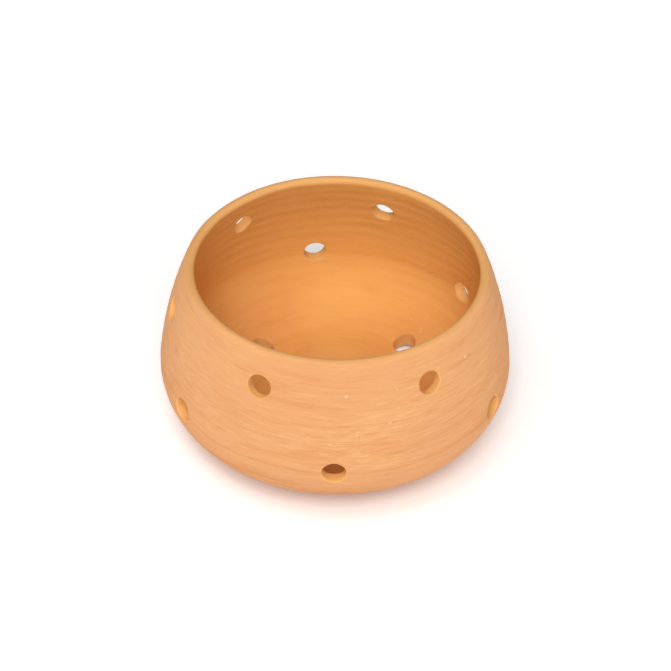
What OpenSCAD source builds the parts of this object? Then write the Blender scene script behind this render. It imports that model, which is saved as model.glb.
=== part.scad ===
// Round clay bowl with stem holes through its wall and floor.
// One piece: thrown on a wheel, pierced while soft, fired without a glaze.
// Millimetres, +Z up. The origin is on the table, under the middle of the bowl,
// and the front is towards -Y.

/* [Bowl] */
// Outside width at the widest line
belly_d = 175; // [140:1:240]
// Height from the table to the top of the lip
height = 94; // [80:1:140]
// Height of the widest line above the table
belly_z = 36.5; // [30:0.5:50]
// Outside width of the lip
mouth_d = 148; // [115:1:156]
// Width of the flat underside
base_d = 104; // [70:1:112]

/* [Curves] */
// Radius of the belly, seen from the side
belly_round = 30; // [20:1:45]
// Radius of the shoulder, from the belly up to the lip
shoulder_round = 195; // [130:5:400]
// Radius of the long curve from the foot up to the belly
lower_round = 240; // [120:5:400]
// Radius of the foot, where the wall leaves the table
foot_round = 18; // [13:1:22]

/* [Clay] */
// Thickness of the wall at the belly
wall = 6; // [4:0.5:8]
// Thickness of the rounded lip
lip = 5; // [3.5:0.5:7]
// Thickness of the floor
floor_thick = 7; // [5:0.5:9]

/* [Stem holes] */
// Width of every hole
hole_d = 11.7; // [6:0.1:15]
// Number of holes in the upper row
upper_count = 6; // [0:1:10]
// How far the upper row lies below the top of the lip
upper_drop = 19; // [12:0.5:30]
// Turn of the first upper hole from the front, in degrees
upper_turn = -26; // [-180:1:180]
// Number of holes in the belly row
belly_count = 6; // [0:1:10]
// How far the belly row lies above the widest line
belly_rise = 2.5; // [0:0.5:10]
// Turn of the first belly hole from the front, in degrees
belly_turn = 0; // [-180:1:180]
// Number of holes through the floor
floor_count = 4; // [0:1:8]
// How far the middles of the floor holes lie outside the edge of the flat underside
floor_out = 3; // [-20:0.5:6]
// Turn of the first floor hole from the front, in degrees
floor_turn = 47; // [-180:1:180]

/* [Punched by hand] */
// Upper holes, each off its even place by [degrees round, mm up]
upper_stray = [[0, 2], [0, 1.7], [4, 0], [8, -1.6], [7, 0.2], [5, -1.3]];
// Belly holes, each off its even place by [degrees round, mm up]
belly_stray = [[0.5, -1.4], [2.5, 0.2], [6.5, 0.5], [8.5, 0], [6, 0], [3, 0.2]];
// Floor holes, each off its even place by [degrees round, mm outwards]
floor_stray = [[0, 0], [2, 0.7], [-1, -1.6], [0, 0]];

/* [Hidden] */
$fn = 180;

// Seen from the side, the bowl is a chain of arcs, each running smoothly into the next.
// Points are [distance from the middle, height].
lip_r = lip / 2;
lip_c = [mouth_d / 2 - lip_r, height - lip_r];
belly_c = [belly_d / 2 - belly_round, belly_z];
foot_c = [base_d / 2, foot_round];
// The long arcs stay this far inside the round ones, so that they cross cleanly.
tuck = 0.01;

function dir(a, b) = (b - a) / norm(b - a);
// Where two circles cross, on the side of the bowl's middle.
function meet(a, ra, b, rb) =
  let (d = norm(b - a), u = dir(a, b), t = (ra * ra - rb * rb + d * d) / (2 * d))
  a + t * u + sqrt(ra * ra - t * t) * [-u[1], u[0]];
// Centre of the long arc of radius r that wraps two smaller circles.
function wrap(r, a, ra, b, rb) = meet(a, r - ra, b, r - rb);

// Outside: up from the foot, round the belly, then over the shoulder to the lip
lower_c = wrap(lower_round, foot_c, foot_round, belly_c, belly_round);
shoulder_c = wrap(shoulder_round, belly_c, belly_round, lip_c, lip_r);

// Inside: the same, set in by the thickness of the clay
in_foot = foot_round - floor_thick;
in_belly = belly_round - wall;
in_lower = lower_round - wall;
in_shoulder = shoulder_round - lip;
in_lower_c = wrap(in_lower, foot_c, in_foot, belly_c, in_belly);
in_shoulder_c = wrap(in_shoulder, belly_c, in_belly, lip_c, 2 * tuck - lip_r);

// The long arc of centre c that leaves the circle at a and joins the circle at b.
module long_arc(c, r, a, b) {
  u = dir(c, a);
  v = dir(c, b);
  intersection() {
    translate(c) circle(r = r - tuck);
    polygon([a - 5 * u, c + (1.1 * r + 5) * u, c + (1.1 * r + 5) * v, b - 5 * v]);
  }
}

// All that lies inside one chain of arcs and above the height low. The list ends closes it at the top.
module within(low, foot_r, low_c, low_r, round_r, high_c, high_r, high_end, ends) {
  intersection() {
    translate([-1, low]) square([belly_d, 2 * height]);
    union() {
      polygon(concat([[-1, low - 1], [foot_c[0], low - 1], foot_c, belly_c], ends));
      translate(foot_c - [0, tuck]) circle(r = foot_r);
      long_arc(low_c, low_r, foot_c, belly_c);
      translate(belly_c) circle(r = round_r);
      long_arc(high_c, high_r, belly_c, high_end);
    }
  }
}

module side() {
  to_lip = dir(in_shoulder_c, lip_c);
  inner_end = in_shoulder_c + (in_shoulder - lip) * to_lip;
  corner = in_shoulder_c + (in_shoulder - 1.5 * tuck) * to_lip;
  intersection() {
    translate([0, -1]) square([belly_d, 2 * height]);
    union() {
      difference() {
        within(0, foot_round, lower_c, lower_round, belly_round, shoulder_c, shoulder_round,
               lip_c, [lip_c, [-1, lip_c[1]]]);
        within(floor_thick, in_foot, in_lower_c, in_lower, in_belly, in_shoulder_c, in_shoulder,
               inner_end, [corner, [corner[0], 3 * height], [-1, 3 * height]]);
      }
      translate(lip_c) circle(r = lip_r);
    }
  }
}

// Outside of the wall at height z: its distance from the middle, and the angle it leans back
shoulder_z = (belly_c + belly_round * dir(shoulder_c, belly_c))[1];
function arc_c(z) = z > shoulder_z ? shoulder_c : belly_c;
function arc_r(z) = z > shoulder_z ? shoulder_round : belly_round;
function lean(z) = asin((z - arc_c(z)[1]) / arc_r(z));
function out_r(z) = arc_c(z)[0] + arc_r(z) * cos(lean(z));

// Where the rows lie
upper_z = height - upper_drop;
belly_row_z = belly_z + belly_rise;
floor_ring_r = base_d / 2 + floor_out;

// Each punch goes square through the wall, from well inside it to well outside it.
function stray(list, i) = i < len(list) ? list[i] : [0, 0];
punch = 2 * wall + hole_d;

module row(count, first, z, strays) {
  for (i = [0 : 1 : count - 1]) {
    s = stray(strays, i);
    zi = z + s[1];
    rotate([0, 0, first + i * 360 / count + s[0] - 90])
      translate([out_r(zi), 0, zi])
        rotate([0, 90 - lean(zi), 0])
          cylinder(d = hole_d, h = punch, center = true);
  }
}

module floor_row() {
  for (i = [0 : 1 : floor_count - 1]) {
    s = stray(floor_stray, i);
    rotate([0, 0, floor_turn + i * 360 / floor_count + s[0] - 90])
      translate([floor_ring_r + s[1], 0, 0])
        cylinder(d = hole_d, h = 4 * floor_thick, center = true);
  }
}

module bowl() {
  color([0.84, 0.56, 0.36])
    difference() {
      rotate_extrude() side();
      row(upper_count, upper_turn, upper_z, upper_stray);
      row(belly_count, belly_turn, belly_row_z, belly_stray);
      floor_row();
    }
}

bowl();
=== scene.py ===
# %% [markdown]
# # A thrown clay bowl with stem holes
#
# This object is one piece of fired clay: a squat bowl, thrown on a wheel, trimmed when it was
# half dry, and pierced with a hole cutter while the clay was still soft. Flower stems go in
# through the mouth and out through the holes.
#
# The lesson starts with the frame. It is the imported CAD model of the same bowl, in metres, and
# everything made here has to sit exactly on it.

# %% The frame
import math

import bpy
import numpy as np
from mathutils import Euler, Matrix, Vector


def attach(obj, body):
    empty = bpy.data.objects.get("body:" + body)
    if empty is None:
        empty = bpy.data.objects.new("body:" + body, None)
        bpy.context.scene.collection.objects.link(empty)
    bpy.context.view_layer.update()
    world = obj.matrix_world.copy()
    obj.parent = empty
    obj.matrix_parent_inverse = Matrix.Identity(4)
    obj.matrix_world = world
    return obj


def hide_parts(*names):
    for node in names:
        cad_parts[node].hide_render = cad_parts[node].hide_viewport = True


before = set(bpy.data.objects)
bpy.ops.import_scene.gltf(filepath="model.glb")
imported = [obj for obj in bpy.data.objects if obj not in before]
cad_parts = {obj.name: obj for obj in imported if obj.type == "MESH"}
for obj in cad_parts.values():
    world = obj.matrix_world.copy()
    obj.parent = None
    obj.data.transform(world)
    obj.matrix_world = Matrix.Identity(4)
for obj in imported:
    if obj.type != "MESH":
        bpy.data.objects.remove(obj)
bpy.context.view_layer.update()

# %% [markdown]
# ## Sizes
#
# A potter thinks of a bowl as a side view that is turned round an axis. The side view here is a
# chain of arcs: foot, lower wall, belly, shoulder, lip, and the same chain again inside, set in
# by the thickness of the clay. The sizes below are those of the CAD model, in millimetres,
# because a wall of 6 is easier to judge than a wall of 0.006.

# %% Sizes of the bowl
BELLY_WIDTH, HEIGHT, BELLY_HEIGHT = 175.0, 94.0, 36.5
MOUTH_WIDTH, BASE_WIDTH = 148.0, 104.0
BELLY_ROUND, SHOULDER_ROUND, LOWER_ROUND, FOOT_ROUND = 30.0, 195.0, 240.0, 18.0
WALL, LIP, FLOOR = 6.0, 5.0, 7.0
HOLE_RADIUS = 5.85

LIP_RADIUS = LIP / 2
LIP_CENTRE = np.array([MOUTH_WIDTH / 2 - LIP_RADIUS, HEIGHT - LIP_RADIUS])
BELLY_CENTRE = np.array([BELLY_WIDTH / 2 - BELLY_ROUND, BELLY_HEIGHT])
FOOT_CENTRE = np.array([BASE_WIDTH / 2, FOOT_ROUND])

# %% [markdown]
# ## The side view
#
# Each long arc has to run smoothly into the round ones at its ends. Its centre is therefore the
# point whose distance to each round centre is the difference of the two radii, which is where
# two circles cross. A Bezier curve drawn by eye would also look smooth, but it would drift from
# the CAD model by a millimetre here and there, and the holes would no longer line up.

# %% Arcs that touch smoothly
def unit(v):
    return v / np.hypot(*v)


def wrap(radius, a, a_radius, b, b_radius):
    """Centre of the long arc that wraps the circles at a and b."""
    ra, rb = radius - a_radius, radius - b_radius
    d = np.hypot(*(b - a))
    u = (b - a) / d
    t = (ra * ra - rb * rb + d * d) / (2 * d)
    return a + t * u + math.sqrt(ra * ra - t * t) * np.array([-u[1], u[0]])


def arc(centre, radius, start, end):
    """Fine points along an arc from direction start to direction end, both in degrees."""
    t = np.radians(np.linspace(start, end, 241))
    return np.c_[centre[0] + radius * np.cos(t), centre[1] + radius * np.sin(t)]


def heading(centre, other):
    """Direction in degrees from one centre to another."""
    d = other - centre
    return math.degrees(math.atan2(d[1], d[0]))


def skin(inset, foot_inset, lip_radius):
    """One skin of the wall from the flat to the lip: its arcs in order, as points (r, z)."""
    foot, belly = FOOT_ROUND - foot_inset, BELLY_ROUND - inset
    lower, shoulder = LOWER_ROUND - inset, SHOULDER_ROUND - (LIP if inset else 0)
    low_c = wrap(lower, FOOT_CENTRE, foot, BELLY_CENTRE, belly)
    high_c = wrap(shoulder, BELLY_CENTRE, belly, LIP_CENTRE, lip_radius)
    leave, meet = heading(low_c, FOOT_CENTRE), heading(low_c, BELLY_CENTRE)
    turn = heading(high_c, BELLY_CENTRE)
    end = heading(high_c, LIP_CENTRE)
    return np.vstack([arc(FOOT_CENTRE, foot, -90, leave), arc(low_c, lower, leave, meet),
                      arc(BELLY_CENTRE, belly, meet, turn), arc(high_c, shoulder, turn, end)])


outside = skin(0, 0, LIP_RADIUS)
inside = skin(WALL, FLOOR, -LIP_RADIUS)
lean_out = heading(LIP_CENTRE, outside[-1])
lean_in = heading(LIP_CENTRE, inside[-1]) % 360
lip = arc(LIP_CENTRE, LIP_RADIUS, lean_out, lean_in)
print(f"outside: {len(outside)} points, widest {2 * outside[:, 0].max():.2f} mm; "
      f"lip top {lip[:, 1].max():.2f} mm")

# %% [markdown]
# ## Rows of the clay sheet
#
# The bowl will be made as one closed sheet of quads: up the outside, over the lip, down the
# inside and across the floor. Rows that are evenly spaced along the side view keep the quads
# nearly square, so small surface marks can be pressed into them anywhere. Near the flat parts
# the rows are counted by their distance from the middle, because there the holes stand upright.

# %% Rows from the underside, over the lip, to the floor
ROW_STEP = 1.42
EVEN_FROM = 41.0      # from here on the rows are evenly spaced
UPRIGHT_ZONE = 67.0   # inside this radius the holes are upright


def along(points):
    """Where each point of a skin lies on its ruler: radius near the flat, arc length beyond."""
    step = np.hypot(*np.diff(points, axis=0).T)
    s = np.r_[0, np.cumsum(step)]
    widest = np.argmax(points[:, 0])
    s_edge = np.interp(UPRIGHT_ZONE, points[:widest, 0], s[:widest])
    return np.where(s < s_edge, np.minimum(points[:, 0], UPRIGHT_ZONE), UPRIGHT_ZONE + s - s_edge)


def with_flat(points, z):
    """Add the flat that closes a skin at the middle, with points close enough to find a hole by."""
    r = np.linspace(0, points[0, 0], 60)[:-1]
    return np.vstack([np.c_[r, np.full(len(r), z)], points])


outside, inside = with_flat(outside, 0.0), with_flat(inside, FLOOR)
out_ruler, in_ruler = along(outside), along(inside)


def place(points, ruler, where):
    """Points (r, z) of a skin at these places on its ruler."""
    return np.c_[np.interp(where, ruler, points[:, 0]), np.interp(where, ruler, points[:, 1])]


FLAT_ROWS = np.array([0, 1.5, 4, 7, 10.5, 14.5, 19, 23.5, 28, 32, 35.5, 38.5])


def rows_on(ruler):
    """Rows of one skin: wide apart on the flat, then an even step up to the lip."""
    count = 1 + round((ruler[-1] - EVEN_FROM) / ROW_STEP)
    return np.r_[FLAT_ROWS, np.linspace(EVEN_FROM, ruler[-1], count)]


out_rows, in_rows = rows_on(out_ruler), rows_on(in_ruler)
print(f"{len(out_rows)} rows outside, {len(in_rows)} rows inside")

# %% [markdown]
# ## Sixteen holes
#
# The holes were punched one by one, by eye, so each sits a little off its even place. There are
# six under the lip, six on the belly and four through the floor. A wall hole goes square through
# the clay; a floor hole goes straight down. Each is written as the turn from the front in
# degrees and the height on the outside, or the distance from the middle for the floor.

# %% Where the holes are
UPPER = [(-26.0, 77.0), (34.0, 76.7), (98.0, 75.0), (162.0, 73.4), (-139.0, 75.2), (-81.0, 73.7)]
BELLY = [(0.5, 37.6), (62.5, 39.2), (126.5, 39.5), (-171.5, 39.0), (-114.0, 39.0), (-57.0, 39.2)]
BOTTOM = [(47.0, 55.0), (139.0, 55.7), (-134.0, 53.4), (-43.0, 55.0)]


def wall_hole(turn, z):
    """Frame of a hole square through the wall: its place and heading in the side view."""
    k = np.argmax(outside[:, 1] >= z)
    below, step = outside[k - 1], outside[k] - outside[k - 1]
    point = below + step * ((z - below[1]) / step[1])
    return dict(turn=turn, point=point, up=unit(step), columns=6, rows=6)


def floor_hole(turn, r):
    """Frame of an upright hole. Its block is wider, because the columns lie closer there."""
    return dict(turn=turn, point=np.array([r, 0.0]), up=np.array([1.0, 0.0]), columns=9, rows=6)


HOLES = [wall_hole(*h) for h in UPPER + BELLY] + [floor_hole(*h) for h in BOTTOM]
print(len(HOLES), "holes, first at", HOLES[0]["point"].round(2))

# %% [markdown]
# ## The pierced sheet
#
# How could the holes be cut? A boolean with sixteen punches is the usual answer, but on a dense
# curved wall it leaves slivers and a knife edge round each hole. Clay has neither: a wet finger
# or sponge goes over each edge. So the sheet's own quads are drawn round the holes instead. A
# small block of quads is left out, and rings lead from its border to the circle, over a softened
# edge, through the wall, and out over the softened edge on the other side.

# %% Helpers for the rings
COLUMNS = 360
EDGE_SOFT = 0.38     # radius of the softened edge of a hole
LIP_STEPS = 10
SPREAD_RINGS = 2     # rings between a block's border and the hole
REACH = 16.0         # how far from a hole its skin is looked at
EDGE_RINGS = 3
TUNNEL_RINGS = 3


class Skin:
    """One side of the wall: it turns a place on its ruler into a point, and draws rings round holes."""

    def __init__(self, points, ruler):
        self.points, self.ruler = points, ruler

    def at(self, where):
        return place(self.points, self.ruler, where)

    def across(self, hole, offset):
        """The place on the ruler that lies this far from the hole's axis, up the side view."""
        d = (self.points - hole["point"]) @ hole["up"]
        axis = np.array([hole["up"][1], -hole["up"][0]])
        near = np.abs((self.points - hole["point"]) @ axis) < REACH
        near &= np.abs(d) < REACH
        return np.interp(offset, d[near], self.ruler[near])

    def ring(self, hole, radius, angle):
        """Turn and place on the ruler of a circle round the hole."""
        where = self.across(hole, radius * np.sin(angle))
        r = self.at(where)[:, 0]
        return math.radians(hole["turn"]) + np.arcsin(radius * np.cos(angle) / r), where


def spin(turn, rz):
    """Points of the side view (r, z), each turned round the bowl's axis. Turn 0 faces the front."""
    return np.c_[rz[:, 0] * np.sin(turn), -rz[:, 0] * np.cos(turn), rz[:, 1]]


OUT, IN = Skin(outside, out_ruler), Skin(inside, in_ruler)
print("outer ruler ends at", round(out_ruler[-1], 2), "inner at", round(in_ruler[-1], 2))

# %% Rows of vertices
vertices, ruler_of, edge_of = [], [], []


def add(points, where, edge=0.0):
    """Keep these points as vertices, with their place along the clay and how near a hole's edge."""
    first = sum(len(v) for v in vertices)
    vertices.append(points)
    ruler_of.append(np.broadcast_to(where, len(points)))
    edge_of.append(np.broadcast_to(edge, len(points)))
    return np.arange(first, first + len(points))


turns = np.radians(np.arange(COLUMNS) * 360 / COLUMNS)
LIP_LENGTH = math.pi * LIP_RADIUS


def full_row(r, z, where):
    """A ring of vertices right round the bowl."""
    return add(spin(turns, np.tile([r, z], (COLUMNS, 1))), where)


out_ids = [np.repeat(add(np.array([[0, 0, 0.0]]), 0.0), COLUMNS)]
out_ids += [full_row(*OUT.at(w)[0], w) for w in out_rows[1:]]
top = out_ruler[-1]
lip_at = lip[np.linspace(0, len(lip) - 1, LIP_STEPS + 1).round().astype(int)][1:-1]
lip_ids = [full_row(r, z, top + LIP_LENGTH * k / LIP_STEPS) for k, (r, z) in enumerate(lip_at, 1)]
over = top + LIP_LENGTH + in_ruler[-1]     # the ruler runs on over the lip and down the inside
in_ids = [np.repeat(add(np.array([[0, 0, FLOOR]]), over), COLUMNS)]
in_ids += [full_row(*IN.at(w)[0], over - w) for w in in_rows[1:]]
print(f"{sum(len(v) for v in vertices)} vertices in rows")

# %% Blocks left out, and the rings through the wall
faces, left_out = [], {"out": set(), "in": set()}


def block(skin_rows, ids, hole, centre, side):
    """Leave a block of quads out round the hole, and return its border: ids, turns and rulers."""
    i = round(hole["turn"] * COLUMNS / 360)
    j = int(np.argmin(np.abs(skin_rows - centre)))
    i0, i1, j0, j1 = i - hole["columns"], i + hole["columns"], j - hole["rows"], j + hole["rows"]
    left_out[side] |= {(a % COLUMNS, b) for a in range(i0, i1) for b in range(j0, j1)}
    path = ([(a, j0) for a in range(i0, i1)] + [(i1, b) for b in range(j0, j1)]
            + [(a, j1) for a in range(i1, i0, -1)] + [(i0, b) for b in range(j1, j0, -1)])
    loop = np.array([ids[b][a % COLUMNS] for a, b in path])
    return loop, np.radians([a * 360 / COLUMNS for a, _ in path]), skin_rows[[b for _, b in path]]


def bridge(a, b):
    """Quads between two rings with the same number of vertices."""
    faces.extend(np.c_[a, np.roll(a, -1), np.roll(b, -1), b].tolist())


for hole in HOLES:
    across, up = 2 * hole["columns"], 2 * hole["rows"]
    quarter = math.pi / 2
    sides = ((across, -1.5), (up, -0.5), (across, 0.5), (up, 1.5))
    angle = np.concatenate([(np.arange(n) / n + start) * quarter for n, start in sides])
    outer = block(out_rows, out_ids, hole, OUT.across(hole, 0.0), "out")
    inner = block(in_rows, in_ids, hole, IN.across(hole, 0.0), "in")

    def level(skin, radius):
        """A circle round the hole on one skin: turns, places on the ruler, points."""
        turn, where = skin.ring(hole, radius, angle)
        return turn, where, spin(turn, skin.at(where))

    def spread(skin, border, ruler_sign):
        """Rings from the block's border to the start of the soft edge."""
        turn, where, _ = level(skin, HOLE_RADIUS + EDGE_SOFT)
        made = []
        for k in range(1, SPREAD_RINGS + 2):
            f = k / (SPREAD_RINGS + 1)
            t, w = border[1] + f * (turn - border[1]), border[2] + f * (where - border[2])
            made.append(add(spin(t, skin.at(w)), w if ruler_sign > 0 else over - w))
        return made

    chain = [outer[0]] + spread(OUT, outer, 1)
    inward = spread(IN, inner, -1)
    through = []
    for k in range(1, EDGE_RINGS + 1):
        t = k / EDGE_RINGS * quarter
        radius = HOLE_RADIUS + EDGE_SOFT * (1 - math.sin(t))
        _, w, a = level(OUT, radius)
        _, _, b = level(IN, radius)
        deep = EDGE_SOFT * (1 - math.cos(t)) * (b - a) / np.linalg.norm(b - a, axis=1)[:, None]
        through.append((a + deep, b - deep, w))
    a, b, w = through[-1]
    middle = [add(a + (b - a) * k / (TUNNEL_RINGS + 1), w, 1.0)
              for k in range(1, TUNNEL_RINGS + 1)]
    chain += [add(t[0], t[2], 1.0) for t in through] + middle
    chain += [add(t[1], t[2], 1.0) for t in reversed(through)]
    chain += inward[::-1] + [inner[0]]
    for a, b in zip(chain, chain[1:]):
        bridge(a, b)
print(f"{len(faces)} quads in the rings of {len(HOLES)} holes")

# %% Quads of the rows, and the finished sheet
def rows_to_faces(lower, upper, skip=(), j=None):
    """Quads between two rows, less those that a hole's block takes. At a pole they are triangles."""
    for i in range(COLUMNS):
        if (i, j) in skip:
            continue
        n = (i + 1) % COLUMNS
        quad = [lower[i], lower[n], upper[n], upper[i]]
        faces.append([v for k, v in enumerate(quad) if v != quad[k - 1]])


for j in range(len(out_ids) - 1):
    rows_to_faces(out_ids[j], out_ids[j + 1], left_out["out"], j)
rim = [out_ids[-1]] + lip_ids + [in_ids[-1]]
for a, b in zip(rim, rim[1:]):
    rows_to_faces(a, b)
for j in range(len(in_ids) - 1):
    rows_to_faces(in_ids[j + 1], in_ids[j], {(i, j) for i, b in left_out["in"] if b == j}, j)

sheet = bpy.data.meshes.new("pierced_sheet")
sheet.from_pydata((np.vstack(vertices) / 1000).tolist(), [], faces)
for name, parts, scale in (("along", ruler_of, 0.001), ("edge", edge_of, 1.0)):
    values = (np.concatenate(parts) * scale).astype(np.float32)
    sheet.attributes.new(name, "FLOAT", "POINT").data.foreach_set("value", values)
sheet.validate()
print(f"{len(sheet.vertices)} vertices, {len(sheet.polygons)} faces")

# %% [markdown]
# ## Node trees, written as sums
#
# Both the shape of the clay and its finish come from node trees next. A tree is easier to read as
# an expression, such as `rings * 0.6 + grain`, than as a list of links. The small class below
# wraps one output socket, and each operator on it adds the Math node that does it. A second
# class builds any other node from its type, its settings and what goes into its sockets.

# %% Wires and benches
class Wire:
    """An output socket that can be used in sums."""

    def __init__(self, socket):
        self.socket = socket

    def _math(self, operation, *others):
        tree = self.socket.node.id_data
        made = tree.nodes.new("ShaderNodeMath")
        made.operation = operation
        for k, value in enumerate((self, *others)):
            if isinstance(value, Wire):
                tree.links.new(value.socket, made.inputs[k])
            elif value is not None:
                made.inputs[k].default_value = value
        return Wire(made.outputs[0])

    def _reflected(self, operation, value):
        tree = self.socket.node.id_data
        made = tree.nodes.new("ShaderNodeMath")
        made.operation = operation
        made.inputs[0].default_value = value
        tree.links.new(self.socket, made.inputs[1])
        return Wire(made.outputs[0])

    def __add__(self, other):
        return self._math("ADD", other)

    def __radd__(self, other):
        return self._math("ADD", other)

    def __sub__(self, other):
        return self._math("SUBTRACT", other)

    def __rsub__(self, other):
        return self._reflected("SUBTRACT", other)

    def __mul__(self, other):
        return self._math("MULTIPLY", other)

    def __rmul__(self, other):
        return self._math("MULTIPLY", other)

    def __truediv__(self, other):
        return self._math("DIVIDE", other)

    def __rtruediv__(self, other):
        return self._reflected("DIVIDE", other)

    def __pow__(self, other):
        return self._math("POWER", other)

    def sin(self):
        return self._math("SINE")

    def turn_from(self, other):
        """Angle of the point (other, self), in radians."""
        return self._math("ARCTAN2", other)

    def clamp(self):
        return self._math("MAXIMUM", 0.0)._math("MINIMUM", 1.0)

    def ramp(self, low, high):
        """0 at low, 1 at high, smooth in between; low may be the larger."""
        t = ((self - low) / (high - low)).clamp()
        return t * t * (3.0 - 2.0 * t)

    def bell(self, centre, width):
        """1 at centre, fading to 0 a width away on both sides."""
        return (self - centre)._math("ABSOLUTE").ramp(width, 0.0)


class Bench:
    """A node tree being built."""

    def __init__(self, tree):
        self.tree = tree

    def node(self, kind, inputs=None, out=0, **settings):
        """Add one node: its settings first, then its sockets. Returns the wire of one output."""
        made = self.tree.nodes.new(kind)
        for name, value in settings.items():
            setattr(made, name, value)
        for key, value in (inputs or {}).items():
            if isinstance(value, Wire):
                self.tree.links.new(value.socket, made.inputs[key])
            else:
                made.inputs[key].default_value = value
        return Wire(made.outputs[out])

    def vector(self, x, y, z):
        return self.node("ShaderNodeCombineXYZ", {0: x, 1: y, 2: z})

    def split(self, vector):
        first = self.node("ShaderNodeSeparateXYZ", {0: vector})
        return [Wire(s) for s in first.socket.node.outputs]

    def plus(self, a, b):
        """The sum of two vectors."""
        return self.node("ShaderNodeVectorMath", {0: a, 1: b}, operation="ADD")

    def noise(self, vector, scale, detail=2.0, roughness=0.5, seed=0.0):
        """Smooth noise from 0 to 1. The seed moves the pattern to another part of space."""
        moved = self.plus(vector, (seed, 1.7 * seed, -seed))
        return self.node("ShaderNodeTexNoise", {"Vector": moved, "Scale": scale, "Detail": detail,
                                                "Roughness": roughness})

    def tint(self, amount, base, over, blend="MIX"):
        """Colour base, covered by colour over where amount is 1."""
        return self.node("ShaderNodeMix", {0: amount, 6: base, 7: over}, out=2, data_type="RGBA",
                         blend_type=blend)

    def stain(self, amount, base, over):
        """Colour base, darkened by colour over where amount is 1."""
        return self.tint(amount, base, over, "MULTIPLY")


print("wires and benches ready")

# %% [markdown]
# ## The potter's hand
#
# A turned profile alone looks like plastic. On the wheel the wall gets low rings from the
# fingers, it wanders out of round by half a millimetre, and the mouth is never quite level.
# These follow one rule all over the bowl, so Geometry Nodes press them into the sheet. The rings
# climb as a screw does, because the fingers rise while the wheel turns. The tree's sizes are
# named inputs, so another bowl from the same wheel only needs other numbers.

# %% Geometry nodes that throw the clay
def tree_input(tree, name, kind, value=None):
    """Give a tree a named input, and return the identifier that a modifier sets it by."""
    socket = tree.interface.new_socket(name=name, in_out="INPUT", socket_type=kind)
    if value is not None:
        socket.default_value = value
    return socket.identifier


hand = bpy.data.node_groups.new("potters_hand", "GeometryNodeTree")
hand_ids = {"Geometry": tree_input(hand, "Geometry", "NodeSocketGeometry")}
for name, value in (("Ring Depth", 0.0), ("Ring Pitch", 0.01), ("Out Of Round", 0.0),
                    ("Mouth Tilt", 0.0), ("Dimple Depth", 0.0)):
    hand_ids[name] = tree_input(hand, name, "NodeSocketFloat", value)
hand_ids["Seed"] = tree_input(hand, "Seed", "NodeSocketInt", 1)
hand_ids["Clay"] = tree_input(hand, "Clay", "NodeSocketMaterial")
hand.interface.new_socket(name="Geometry", in_out="OUTPUT", socket_type="NodeSocketGeometry")

bench = Bench(hand)
given = hand.nodes.new("NodeGroupInput")
want = {s.name: Wire(s) for s in given.outputs if s.name}
spot = bench.node("GeometryNodeInputPosition")
x, y, z = bench.split(spot)
distance = (x * x + y * y) ** 0.5
turn_wire = x.turn_from(y)
ruler_wire = bench.node("GeometryNodeInputNamedAttribute", {"Name": "along"}, data_type="FLOAT")
seed_shift = want["Seed"] * 3.17
print(len(hand.nodes), "nodes read the sheet")

# %% Rings, wobble and dimples
round_about = bench.vector(x / (distance + 0.001), y / (distance + 0.001), z * 12.0)
slow_place = bench.plus(round_about, bench.vector(seed_shift, seed_shift, seed_shift))
slow = bench.noise(slow_place, 1.1, detail=1.0)
fading_place = bench.plus(round_about, bench.vector(seed_shift, 0.0, seed_shift))
fading = bench.noise(fading_place, 2.3, detail=2.0, seed=5.0)
screw = ruler_wire / want["Ring Pitch"] * (2 * math.pi) + turn_wire + fading * 5.0
rings = (screw.sin() + (screw * 2.0 + fading * 9.0).sin() * 0.45) * (fading * 1.6 - 0.2).clamp()
dents = bench.noise(spot, 95.0, detail=1.5, seed=11.0).ramp(0.66, 0.8)
away_from_axis = distance.ramp(0.006, 0.03)
off_table = z.ramp(0.0005, 0.008)
press = (rings * want["Ring Depth"] - dents * want["Dimple Depth"]) * away_from_axis * off_table
normal = bench.node("GeometryNodeInputNormal")
pushed = bench.node("ShaderNodeVectorMath", {0: normal, "Scale": press}, operation="SCALE")
rise = z.ramp(0.02, 0.094)
stretch = (slow - 0.5) * 2.0 * want["Out Of Round"] * rise / (distance + 0.001)
lift = (turn_wire + 0.7).sin() * want["Mouth Tilt"] * rise
drift = bench.vector(x * stretch, y * stretch, lift)
offset = bench.plus(pushed, drift)
print(len(hand.nodes), "nodes shape the clay")

# %% Close the tree
thrown = bench.node("GeometryNodeSetPosition", {"Geometry": want["Geometry"], "Offset": offset})
smooth = bench.node("GeometryNodeSetShadeSmooth", {"Geometry": thrown})
real = bench.node("GeometryNodeRealizeInstances", {"Geometry": smooth})
coated = bench.node("GeometryNodeSetMaterial", {"Geometry": real, "Material": want["Clay"]})
finish = hand.nodes.new("NodeGroupOutput")
hand.links.new(coated.socket, finish.inputs[0])
print(len(hand.nodes), "nodes in the potter's hand")
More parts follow.
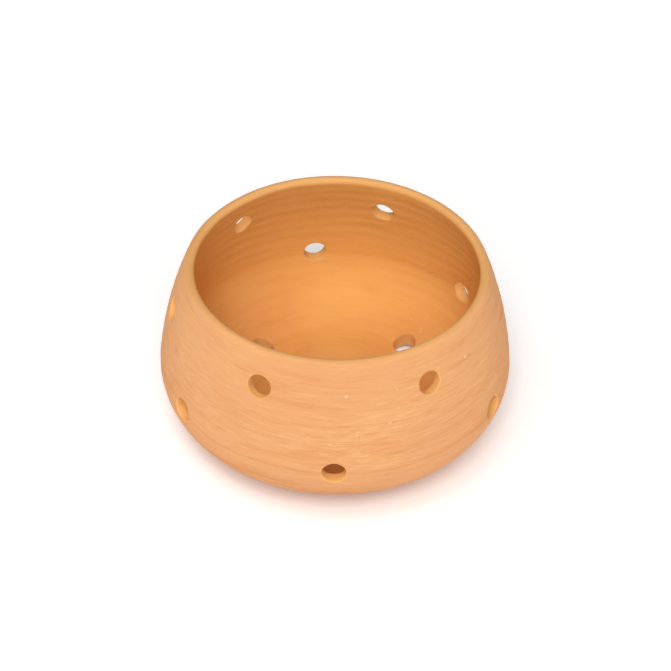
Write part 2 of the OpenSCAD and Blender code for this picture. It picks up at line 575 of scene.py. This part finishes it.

# %% [markdown]
# ## Fired clay
#
# Unglazed earthenware is matt and warm, and never one colour. The trimming tool leaves fine
# lines and short dashes round the wall, a millimetre or so apart, some paler and some redder.
# Iron and lime in the clay give soft clouds, small dark specks and a few pale chips. The lower
# belly is darkened and made pinker in patches, as painted shade. The inside was smoothed with a
# rib and came out calmer; its colour is painted brighter and warmer than the outside, as painted
# light. The lip and the walls of the holes were sponged, so they are smoother; they are also
# painted lighter, as a painted highlight. A picture of clay wrapped round the bowl could show the
# same, but it would have a seam and one fixed scale; noise in object space has neither.

# %% Places on the clay
clay = bpy.data.materials.new("fired_clay")
clay.use_nodes = True
clay.node_tree.nodes.clear()
kiln = Bench(clay.node_tree)
spot = kiln.node("ShaderNodeTexCoord", out=3)
x, y, z = kiln.split(spot)
distance = (x * x + y * y) ** 0.5 + 0.0005
east, north = x / distance, y / distance
ruler_wire = kiln.node("ShaderNodeAttribute", out=2, attribute_name="along")
edge = kiln.node("ShaderNodeAttribute", out=2, attribute_name="edge")
round_wall = kiln.vector(east * 0.06, north * 0.06, ruler_wire * 6.0)
fine_wall = kiln.vector(east * 0.09 + ruler_wire * 0.05, north * 0.09, ruler_wire * 17.0)
dash_wall = kiln.vector(east * 0.22, north * 0.22, ruler_wire * 22.0)
print("the clay reads its place from the object and the ruler")

# %% Tool lines, clouds and specks
clouds = kiln.noise(spot, 16.0, detail=3.0, roughness=0.55, seed=2.0)
soft_bands = kiln.noise(round_wall, 26.0, detail=3.0, roughness=0.6, seed=4.0)
lines = kiln.noise(fine_wall, 44.0, detail=3.0, roughness=0.62, seed=9.0)
dashes = kiln.noise(dash_wall, 46.0, detail=3.0, roughness=0.65, seed=31.0)
scratches = kiln.noise(fine_wall, 95.0, detail=2.0, roughness=0.5, seed=13.0)
grain = kiln.noise(spot, 900.0, detail=3.0, roughness=0.6, seed=1.0)
pores = kiln.noise(spot, 1700.0, detail=1.0, seed=6.0).ramp(0.63, 0.76)
specks = kiln.noise(spot, 520.0, detail=1.0, seed=17.0).ramp(0.72, 0.80)
chips = kiln.noise(spot, 210.0, detail=2.0, seed=23.0).ramp(0.745, 0.775)
print(len(clay.node_tree.nodes), "nodes so far")

# %% Where each mark lies
lip_place = (out_ruler[-1] + LIP_LENGTH / 2) / 1000
red_line_place, dash_place = 0.1062, 0.124     # on the ruler, in metres
on_lip = ruler_wire.bell(lip_place, 0.0058)
inner_side = ruler_wire.ramp(lip_place - 0.004, lip_place + 0.004)
# Painted shade: low on the belly, in patches, the clay is darkened.
low_belly_painted_shade = z.bell(0.012, 0.024) * clouds.ramp(0.30, 0.62)
calm = 1.0 - inner_side * 0.5
cloudy_patches = clouds.ramp(0.38, 0.58) * 0.7 + 0.3
worn = (ruler_wire.bell(dash_place, 0.032) * 0.85 + 0.15) * cloudy_patches * calm
front_half = north.ramp(-0.2, -0.9)
red_line = (ruler_wire + (clouds - 0.5) * 0.005).bell(red_line_place, 0.0015) * front_half
print(len(clay.node_tree.nodes), "nodes with the places")

# %% Colours the clay takes
# Painted light: the inner clay colour is a brighter, warmer copy of the outer clay colour.
OUTER_CLAY, INNER_CLAY_PAINTED_LIGHT = (0.692, 0.334, 0.139, 1), (0.850, 0.450, 0.128, 1)
# Painted highlights: the lip colour and the hole-wall colour are lighter than the clay.
LIP_PAINTED_HIGHLIGHT, HOLE_WALL_PAINTED_HIGHLIGHT = (0.840, 0.430, 0.150, 1), (0.86, 0.46, 0.15, 1)
PALE_LINE, PALE_DASH = (0.84, 0.49, 0.25, 1), (0.86, 0.53, 0.29, 1)
IRON_SPECK, LIME_CHIP = (0.42, 0.18, 0.08, 1), (0.86, 0.60, 0.38, 1)
CLOUD_STAIN, BAND_STAIN = (0.94, 0.90, 0.90, 1), (0.90, 0.78, 0.62, 1)
LINE_STAIN, DASH_STAIN = (0.88, 0.78, 0.62, 1), (0.86, 0.74, 0.58, 1)
# Painted shade: the first colour below darkens the low belly and makes it pinker.
LOW_PAINTED_SHADE, RED_STAIN = (0.89, 0.77, 0.79, 1), (0.90, 0.72, 0.62, 1)

# Painted light: the inside takes the brighter, warmer clay colour.
body = kiln.tint(inner_side, OUTER_CLAY, INNER_CLAY_PAINTED_LIGHT)
body = kiln.stain(clouds.ramp(0.62, 0.36) * 0.5, body, CLOUD_STAIN)
body = kiln.stain(soft_bands.ramp(0.48, 0.70) * calm * 0.6, body, BAND_STAIN)
body = kiln.tint(lines.ramp(0.53, 0.68) * calm * 0.17, body, PALE_LINE)
body = kiln.tint(dashes.ramp(0.52, 0.66) * worn * 0.24, body, PALE_DASH)
body = kiln.stain(dashes.ramp(0.48, 0.34) * worn * 0.5, body, DASH_STAIN)
body = kiln.stain(lines.ramp(0.47, 0.32) * calm * 0.32, body, LINE_STAIN)
# Painted shade: the low belly is darkened and made pinker.
body = kiln.stain(low_belly_painted_shade * 0.9, body, LOW_PAINTED_SHADE)
body = kiln.stain(red_line * 0.4, body, RED_STAIN)
# Painted highlight: the lip is painted lighter.
body = kiln.tint(on_lip * 0.6, body, LIP_PAINTED_HIGHLIGHT)
# Painted highlight: the walls and softened edges of the holes are painted lighter.
body = kiln.tint(edge.ramp(0.6, 1.0) * 0.9, body, HOLE_WALL_PAINTED_HIGHLIGHT)
body = kiln.tint(specks * 0.12, body, IRON_SPECK)
body = kiln.tint(chips * 0.45, body, LIME_CHIP)
print(len(clay.node_tree.nodes), "nodes with the colour")

# %% Surface of the clay
tool_marks = lines * 0.24 + dashes * worn * 0.5 + scratches * 0.22
relief = tool_marks + grain * 0.22 - pores * 0.25 - chips * 0.6
bump = kiln.node("ShaderNodeBump", {"Strength": 0.55, "Distance": 0.00022, "Height": relief})
rough = 0.80 + grain * 0.12 - on_lip * 0.08
surface = kiln.node("ShaderNodeBsdfPrincipled", {"Base Color": body, "Roughness": rough,
                    "Specular IOR Level": 0.25, "Normal": bump})
final = clay.node_tree.nodes.new("ShaderNodeOutputMaterial")
clay.node_tree.links.new(surface.socket, final.inputs["Surface"])
print(len(clay.node_tree.nodes), "nodes in the fired clay")

# %% [markdown]
# ## Off the wheel
#
# The tree is put on the sheet as a modifier, and its inputs are set by their identifiers before
# it runs for the first time. The result is then made a plain mesh, because a piece that leaves
# this file has to be plain geometry. The CAD model's own bowl is hidden, and the made bowl
# rides on the one body that the part has.

# %% Throw the bowl
worked = bpy.data.objects.new("sheet_on_the_wheel", sheet)
bpy.context.scene.collection.objects.link(worked)
wheel = worked.modifiers.new("potters_hand", "NODES")
wheel.node_group = hand
for name, value in (("Ring Depth", 0.00011), ("Ring Pitch", 0.0068), ("Out Of Round", 0.0009),
                    ("Mouth Tilt", 0.0003), ("Dimple Depth", 0.00025), ("Seed", 7), ("Clay", clay)):
    wheel[hand_ids[name]] = value
bpy.context.view_layer.update()
settled = worked.evaluated_get(bpy.context.evaluated_depsgraph_get())
bowl_mesh = bpy.data.meshes.new_from_object(settled)
bowl_mesh.name = "clay_bowl"
worked.modifiers.clear()
bpy.data.objects.remove(worked)
bowl = bpy.data.objects.new("clay_bowl", bowl_mesh)
bpy.context.scene.collection.objects.link(bowl)
triangles = sum(len(p.vertices) - 2 for p in bowl_mesh.polygons)
print(f"bowl: {triangles} triangles, materials {[m.name for m in bowl_mesh.materials]}")

# %% Tie it to the frame
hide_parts("bowl")
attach(bowl, "root")
print("the bowl rides on root")

# %% [markdown]
# ## The studio
#
# The bowl stands on plain white paper in a white room. Three large soft lights stand in front, one
# above the other: the highest reaches the floor of the bowl, the lowest the back of its inside.
# A low light at each side fills the flanks but mostly passes under the mouth, so the inside stays
# deep and warm. Large lights matter for clay: they show the shape without hard shadows or a bright
# spot. The paper is made to glow away from the bowl, as painted light that keeps it white and
# thins the bowl's shadow beside it; under the bowl it does not glow.
# The camera stands in front and looks down at 40 degrees from a metre away with a long lens, so
# that the mouth shows the inside and the back wall.

# %% Floor
HALF_SHEET = 3.0     # metres
paper_mesh = bpy.data.meshes.new("paper")
corners = [(HALF_SHEET * i, HALF_SHEET * j, 0) for i, j in ((-1, -1), (1, -1), (1, 1), (-1, 1))]
paper_mesh.from_pydata(corners, [], [(0, 1, 2, 3)])
paper = bpy.data.objects.new("paper", paper_mesh)
paper.location.z = -0.0002
bpy.context.scene.collection.objects.link(paper)
paper_white = bpy.data.materials.new("paper_white")
paper_white.use_nodes = True
glowing_paper = paper_white.node_tree.nodes["Principled BSDF"]
glowing_paper.inputs["Base Color"].default_value = (0.93, 0.93, 0.93, 1)
glowing_paper.inputs["Roughness"].default_value = 1.0
glowing_paper.inputs["Specular IOR Level"].default_value = 0.0
glowing_paper.inputs["Emission Strength"].default_value = 0.40
sweep = Bench(paper_white.node_tree)
across, deep, _ = sweep.split(sweep.node("ShaderNodeTexCoord", out=3))
away = (across * across + deep * deep) ** 0.5
# Painted light: no glow under the bowl, half of it close beside the bowl, all of it further out
glow = away.ramp(0.060, 0.092) * 0.5 + away.ramp(0.10, 0.40) * 0.5
glow_colour = sweep.node("ShaderNodeCombineColor", {0: glow, 1: glow, 2: glow})
paper_white.node_tree.links.new(glow_colour.socket, glowing_paper.inputs["Emission Color"])
paper_mesh.materials.append(paper_white)
print("paper laid")

# %% Lights
def soft_light(name, at, aim, size, watts):
    """A round soft light on a stand, turned towards its aim."""
    lamp = bpy.data.lights.new(name, "AREA")
    lamp.shape, lamp.size, lamp.energy = "DISK", size, watts
    stand = bpy.data.objects.new(name, lamp)
    stand.location = at
    stand.rotation_euler = (Vector(aim) - Vector(at)).to_track_quat("-Z", "Y").to_euler()
    bpy.context.scene.collection.objects.link(stand)


MIDDLE_OF_BOWL = (0, 0, 0.04)
LIGHTS = (("top_softbox", (-0.55, -0.70, 2.42), 1.1, 13.0),
          ("high_softbox", (-0.06, -1.60, 2.09), 1.1, 31.0),
          ("front_softbox", (-0.06, -2.15, 1.50), 1.1, 13.0),
          ("left_fill", (-1.3, -0.35, 0.16), 0.8, 4.5),
          ("right_fill", (1.3, -0.35, 0.16), 0.8, 5.5))
for name, at, size, watts in LIGHTS:
    soft_light(name, at, MIDDLE_OF_BOWL, size, watts)
room = bpy.data.worlds.new("white_room")
room.use_nodes = True
room.node_tree.nodes["Background"].inputs["Color"].default_value = (1, 1, 1, 1)
room.node_tree.nodes["Background"].inputs["Strength"].default_value = 0.23
bpy.context.scene.world = room
bpy.context.scene.view_settings.view_transform = "Standard"
print("five soft lights and a white room")

# %% Camera
LOOK_DOWN, ROLL = 40.335, 1.39     # degrees
lens = bpy.data.cameras.new("camera")
lens.sensor_width, lens.lens = 36.0, 103.37
lens.clip_start, lens.clip_end = 0.05, 20.0
camera = bpy.data.objects.new("camera", lens)
camera.location = (0.0, -0.73309, 0.670686)
tilt = Euler((math.radians(90 - LOOK_DOWN), 0, 0)).to_matrix()
camera.rotation_euler = (tilt @ Euler((0, 0, math.radians(ROLL))).to_matrix()).to_euler()
bpy.context.scene.collection.objects.link(camera)
bpy.context.scene.camera = camera
print("camera", [round(c, 3) for c in camera.location])
